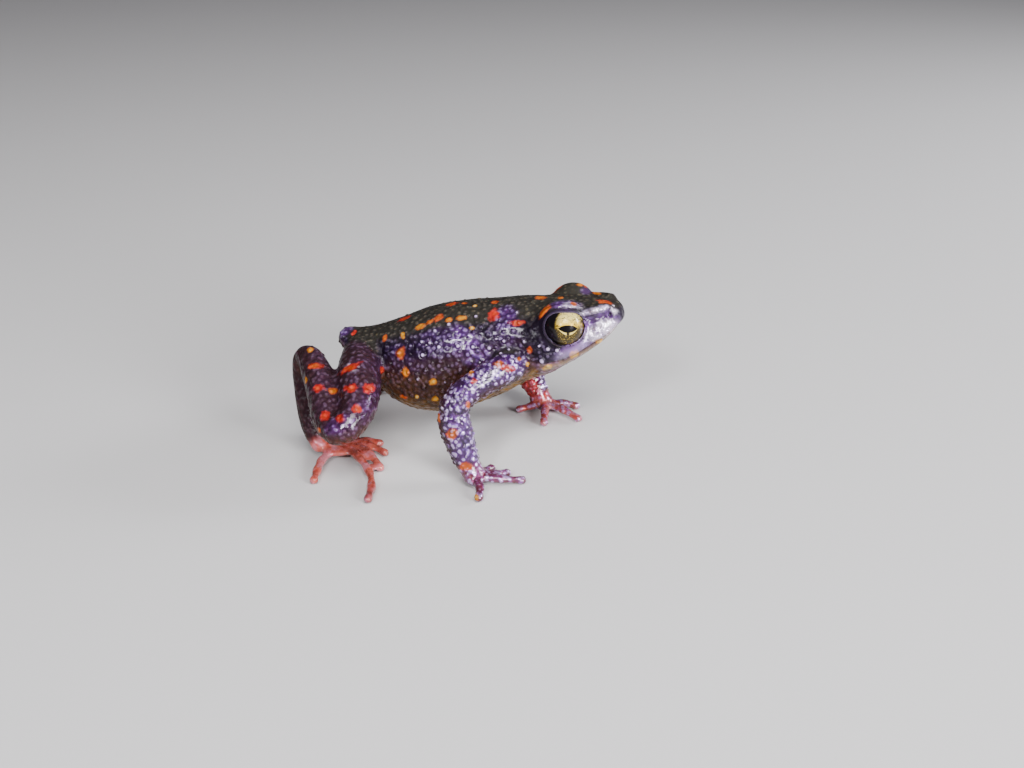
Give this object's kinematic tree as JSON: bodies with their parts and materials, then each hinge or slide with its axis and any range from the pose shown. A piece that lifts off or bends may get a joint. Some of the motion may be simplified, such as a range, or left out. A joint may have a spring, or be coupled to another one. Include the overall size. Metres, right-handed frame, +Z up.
{
  "type": "bleeding toad",
  "caption": "Small slender toad standing high on its forelegs, hind legs folded, dark warty skin with red and yellow spots, as a still life-size model.",
  "frame": {"origin": "centre of the bounding box's bottom face, on the floor that the hands and feet stand on", "axes": "+X the way the toad faces, +Y its left side, +Z up"},
  "size_m": [0.0344, 0.033, 0.0179],
  "materials": {
    "skin": "wet, warty amphibian skin, near black with red, orange and yellow spots",
    "eye": "wet eye, gold iris with a level black pupil"
  },
  "bodies": {
    "root": {"head": "skin", "torso": "skin", "upper_arm_right": "skin", "upper_arm_left": "skin", "forearm_right": "skin", "forearm_left": "skin", "hand_right": "skin", "hand_left": "skin", "thigh_right": "skin", "thigh_left": "skin", "shank_right": "skin", "shank_left": "skin", "tarsus_right": "skin", "tarsus_left": "skin", "foot_right": "skin", "foot_left": "skin", "eye_right": "eye", "eye_left": "eye"}
  },
  "joints": []
}
